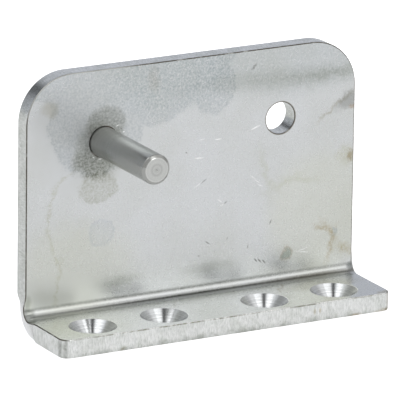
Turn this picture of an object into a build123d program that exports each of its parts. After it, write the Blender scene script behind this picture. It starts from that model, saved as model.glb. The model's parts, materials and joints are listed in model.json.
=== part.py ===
"""Lower door hinge bracket: a folded stainless plate with a hinge pin welded into it.

The bracket stands on its flange, with the plate upright and the pin pointing forwards, along -Y.
The origin is the middle of the row of screw holes, on the flange's underside.
"""

import os
from math import radians, tan

from build123d import *

# Folded plate, in millimetres
bracket_width = 97.0
bracket_height = 69.2
flange_depth = 26.3
sheet_thickness = 5.0
bend_inside_radius = 2.4
top_corner_radius = 12.9
flange_corner_radius = 2.5
edge_break = 0.25

# What folding thick plate does to both ends of the bend: the inside is squeezed out past the edge,
# the outside is drawn in, and the edge runs back to straight a little way past the bend
bend_end_swell = 0.55
bend_end_draw = 0.9
bend_end_run = 3.5

# Countersunk screw holes in the flange, in an inner and an outer pair
screw_hole_diameter = 6.6
countersink_diameter = 12.6
countersink_angle = 90.0
screw_edge_distance = 8.2
inner_screw_spacing = 29.7
outer_screw_spacing = 71.4

# Hinge pin, and the two places for it, one for each hand of door
pin_diameter = 8.0
pin_length = 29.1
pin_tip_chamfer_width = 0.8
pin_tip_chamfer_length = 0.6
pin_root_relief = 0.25
pin_hole_clearance = 0.25
pin_hole_spacing = 52.2
pin_hole_height = 49.8

# Weld that holds the pin, run round its end at the back of the plate
weld_gap_depth = 2.0
weld_outer_toe = 1.6
weld_inner_toe = 1.1
weld_crown = 0.8

# Places that follow from those sizes
plate_front = flange_depth - sheet_thickness - screw_edge_distance
plate_back = plate_front + sheet_thickness
flange_front = -screw_edge_distance
bend_axis_y = plate_front - bend_inside_radius
bend_axis_z = sheet_thickness + bend_inside_radius
upright_start = bend_axis_z + bend_end_run
flange_end = bend_axis_y - bend_end_run
screw_places = [
    side * spacing / 2
    for spacing in (inner_screw_spacing, outer_screw_spacing)
    for side in (-1, 1)
]
pin_hole_radius = pin_diameter / 2 + pin_hole_clearance
pin_root_radius = pin_diameter / 2 - pin_root_relief
pin_place = -pin_hole_spacing / 2
spare_hole_place = pin_hole_spacing / 2
reach = 2 * sheet_thickness


def sheet_section(inside_width, outside_width):
    """Section across the sheet, with local Y running from its inside face to its outside face."""
    corners = [
        (-inside_width / 2, 0),
        (inside_width / 2, 0),
        (outside_width / 2, sheet_thickness),
        (-outside_width / 2, sheet_thickness),
    ]
    section = make_face(Polyline(*corners, close=True))
    return fillet(section.vertices(), edge_break)


def plate_plane(height):
    """Plane across the upright plate, where the section's inside is the plate's front."""
    return Plane((0, plate_front, height), x_dir=(1, 0, 0), z_dir=(0, 0, 1))


def flange_plane(depth):
    """Plane across the flange, where the section's inside is the flange's top."""
    return Plane((0, depth, sheet_thickness), x_dir=(1, 0, 0), z_dir=(0, 1, 0))


def broken_edges(blank, along, joins_fold):
    """Round the long edges of a flat blank, but not those where it joins the fold."""
    faces = blank.faces().sort_by(along)
    outline = faces[0].edges() + faces[-1].edges()
    return fillet([edge for edge in outline if not joins_fold(edge)], edge_break)


def make_upright():
    """The upright plate above the fold, with its two large top corners."""
    height = bracket_height - upright_start
    outline = Rectangle(bracket_width, height, align=(Align.CENTER, Align.MIN))
    outline = fillet(outline.vertices().group_by(Axis.Y)[-1], top_corner_radius)
    face_plane = Plane((0, plate_front, upright_start), x_dir=(1, 0, 0), z_dir=(0, -1, 0))
    blank = extrude(face_plane * outline, -sheet_thickness)
    return broken_edges(blank, Axis.Y, lambda edge: edge.center().Z < upright_start + edge_break)


def make_flange():
    """The flange in front of the fold, with its two small front corners."""
    depth = flange_end - flange_front
    outline = Rectangle(bracket_width, depth, align=(Align.CENTER, Align.MIN))
    outline = fillet(outline.vertices().group_by(Axis.Y)[0], flange_corner_radius)
    blank = extrude(Pos(0, flange_front, 0) * outline, sheet_thickness)
    return broken_edges(blank, Axis.Z, lambda edge: edge.center().Y > flange_end - edge_break)


def make_fold():
    """The bend, and the short runs on both sides of it where its ends return to straight."""
    straight = sheet_section(bracket_width, bracket_width)
    pressed = sheet_section(
        bracket_width + 2 * bend_end_swell,
        bracket_width - 2 * bend_end_draw,
    )
    bend_top = plate_plane(bend_axis_z) * pressed
    bend_axis = Axis((0, bend_axis_y, bend_axis_z), (-1, 0, 0))
    bend = revolve(bend_top, axis=bend_axis, revolution_arc=90)
    upper_run = loft([bend_top.face(), (plate_plane(upright_start) * straight).face()], ruled=True)
    bend_foot = flange_plane(bend_axis_y) * pressed
    lower_run = loft([(flange_plane(flange_end) * straight).face(), bend_foot.face()], ruled=True)
    return upper_run + bend + lower_run


def make_screw_cutter():
    """Drill for one countersunk screw hole, standing on the flange's underside."""
    countersink_depth = (countersink_diameter - screw_hole_diameter) / 2
    countersink_depth /= tan(radians(countersink_angle / 2))
    drill = Cylinder(screw_hole_diameter / 2, 2 * reach)
    cone = Cone(
        screw_hole_diameter / 2,
        countersink_diameter / 2,
        countersink_depth,
        align=(Align.CENTER, Align.CENTER, Align.MAX),
    )
    mouth = Cylinder(
        countersink_diameter / 2,
        reach,
        align=(Align.CENTER, Align.CENTER, Align.MIN),
    )
    return drill + Pos(0, 0, sheet_thickness) * (cone + mouth)


def make_bracket_plate():
    """The folded plate with its four screw holes and two pin holes."""
    plate = make_upright() + make_fold() + make_flange()
    for place in screw_places:
        plate -= Pos(place, 0, 0) * make_screw_cutter()
    for place in (pin_place, spare_hole_place):
        drill = Rot(90, 0, 0) * Cylinder(pin_hole_radius, 2 * reach)
        plate -= Pos(place, plate_front, pin_hole_height) * drill
    return plate


def turned(outline, place):
    """Turn an outline of (radius, depth behind the plate's front) points about a pin's axis."""
    profile = Plane((place, plate_front, pin_hole_height), x_dir=(1, 0, 0), z_dir=(0, 0, 1)) * outline
    return revolve(profile, axis=Axis((place, plate_front, pin_hole_height), (0, 1, 0)))


def make_hinge_pin():
    """The turned pin, chamfered at its tip and eased at its root to drop into the hole."""
    radius = pin_diameter / 2
    corners = [
        (0, -pin_length),
        (radius - pin_tip_chamfer_width, -pin_length),
        (radius, -pin_length + pin_tip_chamfer_length),
        (radius, 0),
        (pin_root_radius, 0),
        (pin_root_radius, sheet_thickness),
        (0, sheet_thickness),
    ]
    return turned(make_face(Polyline(*corners, close=True)), pin_place)


def make_pin_weld():
    """The weld: it fills the back of the gap round the pin and stands as a low bead behind it."""
    inner_toe = pin_root_radius - weld_inner_toe
    outer_toe = pin_hole_radius + weld_outer_toe
    crown = ((inner_toe + outer_toe) / 2, sheet_thickness + weld_crown)
    bead = ThreePointArc((outer_toe, sheet_thickness), crown, (inner_toe, sheet_thickness))
    root = Polyline(
        (inner_toe, sheet_thickness),
        (pin_root_radius, sheet_thickness),
        (pin_root_radius, weld_gap_depth),
        (pin_hole_radius, weld_gap_depth),
        (pin_hole_radius, sheet_thickness),
        (outer_toe, sheet_thickness),
    )
    return turned(make_face(root + bead), pin_place)


nodes = {
    "bracket_plate": make_bracket_plate(),
    "hinge_pin": make_hinge_pin(),
    "pin_weld": make_pin_weld(),
}

os.makedirs("parts", exist_ok=True)
for name, solid in nodes.items():
    export_step(solid, f"parts/{name}.step")
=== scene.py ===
"""Looks of the lower door hinge bracket: a folded stainless plate with a turned pin welded into it."""

from __future__ import annotations

import json
import logging
from dataclasses import dataclass, replace
from enum import Enum
from math import atan2, cos, degrees, hypot, pi, radians, sin, tan
from typing import Any, Callable, Sequence

import bmesh
import bpy
from mathutils import Euler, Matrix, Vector

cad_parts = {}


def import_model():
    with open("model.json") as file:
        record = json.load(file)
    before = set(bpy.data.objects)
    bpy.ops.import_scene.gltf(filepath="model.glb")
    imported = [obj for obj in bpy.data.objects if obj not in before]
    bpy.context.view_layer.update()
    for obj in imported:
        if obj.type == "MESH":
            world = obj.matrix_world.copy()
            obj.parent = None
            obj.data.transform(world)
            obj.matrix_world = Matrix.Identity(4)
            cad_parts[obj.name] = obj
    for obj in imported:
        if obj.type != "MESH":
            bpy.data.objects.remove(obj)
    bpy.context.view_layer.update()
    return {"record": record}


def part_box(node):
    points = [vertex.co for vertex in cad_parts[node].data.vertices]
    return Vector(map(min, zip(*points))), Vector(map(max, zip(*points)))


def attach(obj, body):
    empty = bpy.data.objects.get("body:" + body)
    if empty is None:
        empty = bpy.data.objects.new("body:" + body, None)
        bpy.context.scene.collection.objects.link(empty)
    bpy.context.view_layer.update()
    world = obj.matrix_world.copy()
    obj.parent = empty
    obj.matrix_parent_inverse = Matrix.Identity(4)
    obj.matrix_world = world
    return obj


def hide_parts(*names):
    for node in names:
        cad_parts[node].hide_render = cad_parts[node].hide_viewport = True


log = logging.getLogger("hinge_bracket")

MM = 0.001
PER_METRE = 1000.0
BODY = "root"
WHOLE_FACE = 1.0
NOISE_MIDDLE = (0.5, 0.5, 0.5)
MERGE_DISTANCE = 0.001 * MM


def tone(hex_colour: str) -> tuple[float, float, float, float]:
    """Turn an sRGB hex colour into a linear RGBA colour.

    Args:
        hex_colour: a hash and six hex digits.

    Returns:
        Red, green, blue and alpha, linear, from 0 to 1.
    """
    channels = [int(hex_colour[i : i + 2], 16) / 255 for i in (1, 3, 5)]
    linear = [c / 12.92 if c <= 0.04045 else ((c + 0.055) / 1.055) ** 2.4 for c in channels]
    return (*linear, 1.0)


def add_node(tree: Any, kind: str, inputs: dict | None = None, **settings: Any) -> Any:
    """Add one shader node with its settings and links.

    Args:
        tree: the node tree to add to.
        kind: the node's type name.
        inputs: socket name or number to a value, or to an output socket to link.
        settings: the node's own properties.

    Returns:
        The new node.
    """
    node = tree.nodes.new(kind)
    for key, value in settings.items():
        setattr(node, key, value)
    for key, value in (inputs or {}).items():
        if isinstance(value, bpy.types.NodeSocket):
            tree.links.new(value, node.inputs[key])
        else:
            node.inputs[key].default_value = value
    return node


class Element(Enum):
    """What a selection is made of, with the name of its select mode."""

    VERTS = "VERT"
    EDGES = "EDGE"
    FACES = "FACE"


class Slot(Enum):
    """The plate's material slots, by number."""

    FRONT = 0
    CUT = 1
    RIM = 2
    FLANGE = 3
    BACK = 4


class TurnAxis(Enum):
    """The axes that the bracket's round pieces are turned about."""

    PIN = (0.0, 1.0, 0.0)
    SCREW = (0.0, 0.0, 1.0)


def leave_edit_mode() -> None:
    """Go back to object mode with nothing selected."""
    if bpy.context.mode != "OBJECT":
        bpy.ops.object.mode_set(mode="OBJECT")
    bpy.ops.object.select_all(action="DESELECT")


def choose(piece: bpy.types.Object) -> None:
    """Select one piece, and nothing else, and make it active."""
    leave_edit_mode()
    bpy.context.view_layer.objects.active = piece
    piece.select_set(True)


def edit(piece: bpy.types.Object) -> None:
    """Open one piece, and nothing else, in edit mode."""
    choose(piece)
    bpy.ops.object.mode_set(mode="EDIT")


def pick(piece: bpy.types.Object, element: Element, test: Callable[[Any], bool]) -> int:
    """Select the vertices, edges or faces of a piece in edit mode that pass a test.

    Args:
        piece: the piece being edited.
        element: which of the three is selected.
        test: says whether one of them is wanted.

    Returns:
        How many were selected.
    """
    bpy.ops.mesh.select_mode(type=element.value)
    bpy.ops.mesh.select_all(action="DESELECT")
    shape = bmesh.from_edit_mesh(piece.data)
    wanted = [item for item in getattr(shape, element.name.lower()) if test(item)]
    for item in wanted:
        item.select_set(True)
    shape.select_flush_mode()
    bmesh.update_edit_mesh(piece.data)
    return len(wanted)


def middle(edge: bmesh.types.BMEdge) -> Vector:
    """Middle of an edge."""
    return (edge.verts[0].co + edge.verts[1].co) / 2


def lathe(
    name: str,
    centre: Vector,
    axis: TurnAxis,
    stations: Sequence[tuple[float, float]],
    steps: int,
    ring: bool = False,
) -> bpy.types.Object:
    """Turn a round piece: a circle is extruded and resized from station to station.

    Args:
        name: the new piece's name.
        centre: the point on the axis that stations count from.
        axis: the axis of turning.
        stations: radius and distance along the axis of each circle.
        steps: how many sides the circle has.
        ring: leave the ends open, for a ring whose last station is its first.

    Returns:
        The new piece, closed, with its place in its mesh.
    """
    along = Vector(axis.value)
    across = Vector((1, 1, 1)) - along
    radius, place = stations[0]
    leave_edit_mode()
    bpy.ops.mesh.primitive_circle_add(
        vertices=steps,
        radius=radius,
        fill_type="NOTHING" if ring else "NGON",
        location=centre + along * place,
        rotation=(pi / 2, 0, 0) if axis is TurnAxis.PIN else (0, 0, 0),
    )
    piece = bpy.context.object
    piece.name = name
    piece.data.name = name
    bpy.ops.object.transform_apply(location=True, rotation=True, scale=True)
    edit(piece)
    bpy.ops.mesh.select_mode(type="EDGE" if ring else "FACE")
    bpy.ops.mesh.select_all(action="SELECT")
    for next_radius, next_place in stations[1:]:
        bpy.ops.mesh.extrude_region_move(
            TRANSFORM_OT_translate={"value": along * (next_place - place)}
        )
        bpy.ops.transform.resize(
            value=across * (next_radius / radius) + along,
            center_override=centre + along * next_place,
        )
        radius, place = next_radius, next_place
    bpy.ops.mesh.select_all(action="SELECT")
    bpy.ops.mesh.remove_doubles(threshold=MERGE_DISTANCE)
    bpy.ops.mesh.normals_make_consistent(inside=False)
    leave_edit_mode()
    return piece


def smooth(piece: bpy.types.Object, limit: float) -> None:
    """Shade a piece smooth below an angle, with its flat faces kept flat.

    Args:
        piece: the piece to shade.
        limit: the angle in degrees past which an edge stays sharp.
    """
    choose(piece)
    bpy.ops.object.shade_smooth_by_angle(angle=radians(limit))
    flat = piece.modifiers.new("flat faces", "WEIGHTED_NORMAL")
    flat.keep_sharp = True
    bpy.ops.object.modifier_apply(modifier=flat.name)


def start_steel(name: str, constants: dict[str, float]) -> tuple[bpy.types.Material, Any, Any]:
    """Start a steel: a metallic shader joined to the material's output.

    Args:
        name: what the material is and how its surface was made.
        constants: shader settings that are the same all over the surface.

    Returns:
        The material, its shader node, and the place on the piece in millimetres.
    """
    material = bpy.data.materials.new(name)
    material.use_nodes = True
    tree = material.node_tree
    tree.nodes.clear()
    shader = add_node(tree, "ShaderNodeBsdfPrincipled", {"Metallic": 1.0, **constants})
    add_node(tree, "ShaderNodeOutputMaterial", {"Surface": shader.outputs["BSDF"]})
    where = add_node(tree, "ShaderNodeTexCoord")
    place = add_node(
        tree,
        "ShaderNodeVectorMath",
        {0: where.outputs["Object"], "Scale": PER_METRE},
        operation="SCALE",
    )
    return material, shader, place.outputs["Vector"]


@dataclass(frozen=True)
class Grain:
    """A cloudy pattern in a surface: the size of its clouds in millimetres, and how they show.

    It shows from nothing at one level of its noise to its full share at another.
    """

    size: float
    detail: float
    raggedness: float = 0.5
    starts: float = 0.0
    full: float = 1.0
    share: float = 1.0

    def noise(self, tree: Any, place: Any) -> Any:
        """Add the bare noise.

        Args:
            tree: the node tree to add to.
            place: the place on the piece in millimetres.

        Returns:
            The noise node.
        """
        return add_node(
            tree,
            "ShaderNodeTexNoise",
            {
                "Vector": place,
                "Scale": 1 / self.size,
                "Detail": self.detail,
                "Roughness": self.raggedness,
            },
        )

    def mask(self, tree: Any, noise: Any) -> Any:
        """Turn the noise into a mask.

        Args:
            tree: the node tree to add to.
            noise: the noise node.

        Returns:
            From 0, where nothing shows, to the pattern's share.
        """
        return add_node(
            tree,
            "ShaderNodeMapRange",
            {
                "Value": noise.outputs["Fac"],
                "From Min": self.starts,
                "From Max": self.full,
                "To Max": self.share,
            },
        ).outputs["Result"]


@dataclass(frozen=True)
class Lobe:
    """One rounded lobe of a mark on the plate, in millimetres, turned anticlockwise in degrees."""

    x: float
    z: float
    half_length: float
    half_width: float
    turn: float = 0.0


def stroke(half_width: float, *points: tuple[float, float]) -> tuple[Lobe, ...]:
    """Draw a line of thin lobes from point to point.

    Args:
        half_width: half the line's width.
        points: the places that it passes through.

    Returns:
        One lobe for each stretch of the line.
    """
    lobes = []
    for (x, z), (next_x, next_z) in zip(points, points[1:]):
        half_length = hypot(next_x - x, next_z - z) / 2 + half_width
        turn = degrees(atan2(next_z - z, next_x - x))
        lobes.append(Lobe((x + next_x) / 2, (z + next_z) / 2, half_length, half_width, turn))
    return tuple(lobes)


@dataclass(frozen=True)
class Stain:
    """A mark on a face: lobes that run together, with a tint that the metal is seen through; a real
    stain, or painted shade along the bend.
    """

    lobes: tuple[Lobe, ...]
    tint: str
    softness: float = 1.0
    rim: float = 0.0
    rim_width: float = 0.7
    grain: float = 0.0
    straight: bool = False


FRONT_STAINS = (
    Stain(
        (
            Lobe(-28.2, 57, 14.0, 16.3),
            Lobe(-12, 66, 15, 13.5),
            Lobe(6.2, 61, 6.2, 7.8),
            Lobe(-22, 72, 36, 12),
        ),
        "#EFF1F2",
        softness=1.4,
        rim=0.25,
        grain=0.8,
    ),
    Stain((Lobe(-7, 64, 17, 8),), "#F5F7F7", softness=6.0, grain=0.9),
    Stain((Lobe(30, 66, 26, 9.5),), "#F0F2F2", softness=7.0, grain=0.6),
    Stain((Lobe(29, 60.4, 21, 2.0, -2),), "#E7E8E5", softness=4.6, grain=0.2),
    Stain((Lobe(42, 60.4, 8, 1.0, 3),), "#E9EAE6", softness=3.0, grain=0.3),
    Stain((Lobe(-11.4, 65.0, 1.6, 3.0, 10),), "#F5F2EE", softness=2.4, grain=0.4),
    Stain((Lobe(-25.6, 54.0, 5.5, 5.3),), "#DBDBD7", softness=2.4, grain=0.35),
    Stain((Lobe(-28.6, 44.6, 5.8, 4.4),), "#D6D6D1", softness=3.2, grain=0.45),
    Stain((Lobe(-27.0, 47.5, 7.6, 7.6),), "#EDEDE9", softness=4.0, grain=0.4),
    Stain((Lobe(-27.7, 37.6, 5.5, 4.2),), "#EDEDE8", softness=1.2, rim=0.2, grain=0.7),
    Stain((Lobe(-26.6, 25.5, 4.0, 3.7),), "#F8F9FB", softness=1.0, rim=0.7, grain=0.3),
    Stain((Lobe(-41.6, 60.4, 2.2, 2.2),), "#EFEDE6", softness=2.4),
    Stain(
        stroke(
            0.28,
            (-36.0, 42.1),
            (-39.3, 40.0),
            (-41.0, 36.7),
            (-42.0, 32.5),
            (-42.2, 28.4),
            (-41.4, 24.2),
            (-39.7, 20.5),
            (-38.5, 17.1),
            (-39.3, 12.5),
            (-39.7, 9.6),
        ),
        "#EDECE2",
        softness=1.3,
        grain=0.9,
    ),
    Stain((Lobe(-34, 16, 17, 12),), "#FBFBF4", softness=9),
    Stain((Lobe(38, 22, 15, 17),), "#FDFDF6", softness=8),
    Stain(
        stroke(0.5, (21.1, 39.2), (22.4, 33.6), (24.8, 31.0), (30.0, 32.8), (34.8, 31.9)),
        "#F2F2E9",
        softness=2.4,
        grain=0.4,
    ),
    Stain((Lobe(46.4, 52.2, 3.6, 1.9, 30),), "#D6D6D5", softness=2.2),
    Stain(stroke(0.4, (39.0, 48.8), (42.3, 51.3), (46.5, 53.6)), "#DEDAD0", softness=1.4, grain=0.4),
    Stain((Lobe(48.0, 50.4, 1.0, 0.9),), "#E8DCD2", softness=1.0),
    Stain((Lobe(47.8, 37.2, 0.9, 1.6),), "#D8CFBC", softness=1.2),
    Stain((Lobe(46.0, 37.4, 2.4, 2.6),), "#F2F1E7", softness=3.6, grain=0.6),
    Stain(
        stroke(0.5, (38.6, 18.6), (40.6, 18.3), (42.8, 15.4), (41.6, 11.0)),
        "#E0D5C2",
        softness=1.8,
        grain=0.7,
    ),
    Stain((Lobe(43.2, 16.6, 0.8, 1.1),), "#EEF3FA", softness=0.9),
    Stain((Lobe(46.2, 11.6, 2.2, 1.2, -20),), "#EAE4D6", softness=2.2, grain=0.6),
    Stain((Lobe(28.4, 12.3, 1.7, 2.1, -20),), "#E3DDD5", softness=1.0, grain=0.2),
    Stain((Lobe(28.5, 12.2, 1.1, 1.5, -20),), "#EAF6F9", softness=0.8),
    # Painted shade deepening the smudges that the plate reflects just above the bend
    Stain((Lobe(-21.0, 11.7, 4.2, 1.0, 2),), "#EAEBE8", softness=2.4),
    Stain((Lobe(5.5, 11.7, 6.0, 1.2, 2),), "#EAEBE8", softness=2.6, grain=0.2),
    Stain((Lobe(17.8, 64.9, 0.7, 0.4, 40),), "#C4C4C2", softness=0.7),
    Stain((Lobe(26.1, 49.8, 4.56, 4.56),), "#948A79", softness=0.35, grain=0.2, straight=True),
    # A dark line along the top of the bend: partly the punch's mark, partly a painted reflection
    Stain(stroke(0.3, (-46.6, 7.05), (46.8, 7.05)), "#9A9B96", softness=1.2, grain=0.3, straight=True),
    # Painted shade along the crease at the foot of the bend
    Stain(stroke(0.36, (-46.6, 5.47), (46.4, 5.47)), "#595A56", softness=0.7, grain=0.1, straight=True),
    # Painted shade, warm in tone, widening the crease's dark band under the right half of the bend
    Stain((Lobe(35.5, 5.55, 13, 0.45),), "#A8A59E", softness=0.9, grain=0.1, straight=True),
    # Painted shade dimming the bend's highlight at both ends, and a reflected blob above its left end
    Stain((Lobe(-47.5, 6.3, 1.3, 0.9),), "#BDBEBB", softness=1.2, straight=True),
    Stain((Lobe(47.9, 6.5, 1.0, 0.9),), "#BFC1C1", softness=1.2, straight=True),
    Stain((Lobe(-47.9, 8.9, 0.9, 1.7),), "#C9CAC7", softness=1.4, straight=True),
    # A thin dark line down the right edge of the front
    Stain(stroke(0.12, (48.3, 9.0), (48.3, 56.0)), "#A9A498", softness=0.3, grain=0.4, straight=True),
)

BACK_STAINS = (
    Stain((Lobe(-26.1, 49.8, 11, 11),), "#E9E4D8", softness=5.0, grain=0.2),
    Stain((Lobe(-26.1, 49.8, 7.6, 7.6),), "#C9C6CC", softness=2.4, grain=0.3),
)

FLANGE_STAINS = (
    Stain(stroke(0.22, (22.8, 5.8), (24.6, 8.4), (26.0, 10.6)), "#CFC6BA", softness=0.8),
    Stain(stroke(0.16, (-9.2, 5.5), (-7.4, 8.6)), "#DCDCD6", softness=0.6),
    Stain((Lobe(-2, 2, 50, 12),), "#FFFFFD", softness=6, grain=0.2),
    Stain((Lobe(46.6, -7.2, 1.6, 0.8, 30),), "#E4DFD2", softness=1.2),
    Stain((Lobe(-48.0, 10.0, 1.2, 1.6),), "#D9DAD6", softness=1.2),
    Stain((Lobe(-43, 1, 8, 9),), "#F1F2EC", softness=8),
    # Painted shade on the flange in front of the right half of the bend, and along the foot of the fold
    Stain((Lobe(35, 5.8, 11, 3.5),), "#E9E8E3", softness=3),
    Stain(stroke(1.0, (-45.0, 9.8), (45.5, 9.8)), "#E9EAE6", softness=2.4, straight=True),
)

FRONT_EDGE_STAINS = (
    Stain((Lobe(0, -0.8, 60, 1.8),), "#D9DAD8", softness=2.2, grain=0.4),
    Stain(stroke(0.35, (-47.6, 0), (-47.6, 5)), "#BFC0BD", softness=0.9, grain=0.3),
    Stain(stroke(0.15, (-48.4, 0), (-48.4, 5)), "#B4B5B2", softness=0.3, grain=0.3),
    Stain((Lobe(48.0, 2.4, 0.8, 3.2),), "#CFCCC2", softness=1.2, grain=0.3),
    Stain(stroke(0.25, (47.95, 0), (47.95, 5)), "#8F8A7D", softness=0.5, grain=0.3),
    Stain((Lobe(45.8, 0.3, 2.2, 0.5, 8),), "#D2C9B6", softness=0.9, grain=0.4),
    Stain((Lobe(37.6, 0.2, 1.4, 0.4),), "#CDC3B2", softness=0.7),
    Stain((Lobe(8.2, 4.4, 0.25, 0.8, 12),), "#D9DAD8", softness=0.5),
    Stain((Lobe(-31.2, 0.6, 0.7, 0.3, 20),), "#D8D4C8", softness=0.5),
    Stain((Lobe(25.4, 2.8, 0.3, 0.7),), "#DDD8CA", softness=0.5),
    Stain((Lobe(27.0, 2.9, 0.3, 0.6),), "#DDD8CA", softness=0.5),
    Stain(stroke(0.1, (-46.0, 4.8), (47.6, 4.8)), "#A6A49B", softness=0.3, grain=0.7),
)

DARK_NICKS = (
    Lobe(3.4, 35.4, 0.8, 0.1, 32),
    Lobe(9.9, 28.7, 0.6, 0.12, 32),
    Lobe(4.8, 18.5, 0.7, 0.12, -34),
    Lobe(2.3, 15.2, 0.25, 0.12, -10),
    Lobe(-1.8, 43.8, 0.25, 0.12, -20),
    Lobe(16.9, 15.9, 0.5, 0.1, 80),
    Lobe(23.6, 21.7, 0.6, 0.13, 66),
    Lobe(19.3, 11.8, 0.6, 0.17, -50),
    Lobe(20.5, 11.5, 0.7, 0.17, -50),
    Lobe(21.8, 11.1, 0.6, 0.17, -50),
    Lobe(10.7, 18.9, 0.3, 0.08, 60),
    Lobe(-21.1, 52.8, 0.35, 0.15, -40),
    Lobe(-28.6, 45.2, 0.3, 0.15, 30),
)

BRIGHT_SCRATCHES = (
    Lobe(18.6, 48.1, 1.3, 0.19, 20),
    Lobe(1.9, 41.9, 1.1, 0.16, -4),
    Lobe(7.6, 46.3, 0.8, 0.14, 2),
    Lobe(8.3, 29.5, 0.7, 0.1, -38),
    Lobe(9.2, 28.3, 0.5, 0.1, 30),
    Lobe(2.7, 46.8, 0.5, 0.08, 8),
    Lobe(18.2, 34.6, 0.6, 0.08, -34),
    Lobe(19.4, 33.4, 0.7, 0.08, -36),
    Lobe(20.3, 32.2, 0.6, 0.08, -30),
    Lobe(1.8, 34.6, 0.9, 0.08, 30),
    Lobe(33.4, 12.9, 1.2, 0.08, 12),
    Lobe(33.6, 12.2, 1.1, 0.08, -8),
    Lobe(-22.1, 53.7, 0.35, 0.1, 20),
    Lobe(-20.3, 51.8, 0.22, 0.12),
    Lobe(-27.1, 45.3, 0.35, 0.1),
    Lobe(-29.1, 45.9, 0.22, 0.1),
)


def lobe_field(tree: Any, place: Any, lobes: Sequence[Lobe]) -> Any:
    """Measure how far a place is outside a group of lobes.

    Args:
        tree: the node tree to add to.
        place: the place on the face in millimetres.
        lobes: the lobes that run together.

    Returns:
        The distance in millimetres, less than zero inside.
    """
    nearest = None
    for lobe in lobes:
        if lobe.turn:
            local = add_node(
                tree,
                "ShaderNodeMapping",
                {
                    "Vector": place,
                    "Location": (lobe.x, 0, lobe.z),
                    "Rotation": (0, -radians(lobe.turn), 0),
                    "Scale": (lobe.half_length, 1, lobe.half_width),
                },
                vector_type="TEXTURE",
            )
        else:
            # A scale and a shift do here, which leaves the renderer room for more lobes
            local = add_node(
                tree,
                "ShaderNodeVectorMath",
                {
                    0: place,
                    1: (1 / lobe.half_length, 0, 1 / lobe.half_width),
                    2: (-lobe.x / lobe.half_length, 0, -lobe.z / lobe.half_width),
                },
                operation="MULTIPLY_ADD",
            )
        reach = add_node(
            tree, "ShaderNodeVectorMath", {0: local.outputs["Vector"]}, operation="LENGTH"
        )
        size = min(lobe.half_length, lobe.half_width)
        outside = add_node(
            tree,
            "ShaderNodeMath",
            {0: reach.outputs["Value"], 1: size, 2: -size},
            operation="MULTIPLY_ADD",
        ).outputs["Value"]
        if nearest is not None:
            outside = add_node(
                tree, "ShaderNodeMath", {0: nearest, 1: outside}, operation="MINIMUM"
            ).outputs["Value"]
        nearest = outside
    return nearest


def soft_mask(tree: Any, field: Any, softness: float, on_face: Any) -> Any:
    """Turn a distance into a mask that fades across the edge.

    Args:
        tree: the node tree to add to.
        field: the distance outside the lobes in millimetres.
        softness: how far the edge fades on each side, in millimetres.
        on_face: how far a point belongs to the face.

    Returns:
        1 inside, 0 outside and off the face.
    """
    inside = add_node(
        tree,
        "ShaderNodeMapRange",
        {"Value": field, "From Min": softness, "From Max": -softness},
        interpolation_type="SMOOTHSTEP",
    )
    if on_face == WHOLE_FACE:
        return inside.outputs["Result"]
    return add_node(
        tree, "ShaderNodeMath", {0: inside.outputs["Result"], 1: on_face}, operation="MULTIPLY"
    ).outputs["Value"]


@dataclass(frozen=True)
class Face:
    """One face of the sheet in a shader: how far a point belongs to it, and its place there."""

    on_face: Any
    flat: Any
    wandered: Any


def lay_stain(tree: Any, colour: Any, face: Face, stain: Stain, pepper: Any) -> Any:
    """Lay one mark, a stain or painted shade, over the colour so far.

    Args:
        tree: the node tree to add to.
        colour: the colour so far.
        face: the face that the stain is on.
        stain: the stain or painted shade to lay.
        pepper: fine speckle from 0 to 1.

    Returns:
        The stained colour.
    """
    field = lobe_field(tree, face.flat if stain.straight else face.wandered, stain.lobes)
    amount = soft_mask(tree, field, stain.softness / 2, face.on_face)
    if stain.rim:
        inwards = add_node(
            tree, "ShaderNodeMath", {0: field, 1: stain.rim_width / 2}, operation="ADD"
        )
        off_rim = add_node(
            tree, "ShaderNodeMath", {0: inwards.outputs["Value"]}, operation="ABSOLUTE"
        )
        rim = add_node(
            tree,
            "ShaderNodeMapRange",
            {
                "Value": off_rim.outputs["Value"],
                "From Min": stain.rim_width,
                "From Max": 0.0,
                "To Max": stain.rim,
            },
            interpolation_type="SMOOTHSTEP",
        )
        amount = add_node(
            tree,
            "ShaderNodeMath",
            {0: rim.outputs["Result"], 1: face.on_face, 2: amount},
            operation="MULTIPLY_ADD",
        ).outputs["Value"]
    if stain.grain:
        peppered = add_node(
            tree,
            "ShaderNodeMath",
            {0: pepper, 1: 2 * stain.grain, 2: 1 - stain.grain},
            operation="MULTIPLY_ADD",
        )
        amount = add_node(
            tree, "ShaderNodeMath", {0: amount, 1: peppered.outputs["Value"]}, operation="MULTIPLY"
        ).outputs["Value"]
    seen = add_node(
        tree,
        "ShaderNodeMix",
        {"Factor": amount, 6: colour, 7: tone(stain.tint)},
        data_type="RGBA",
        blend_type="MULTIPLY",
        clamp_factor=False,
    )
    return seen.outputs[2]


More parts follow.
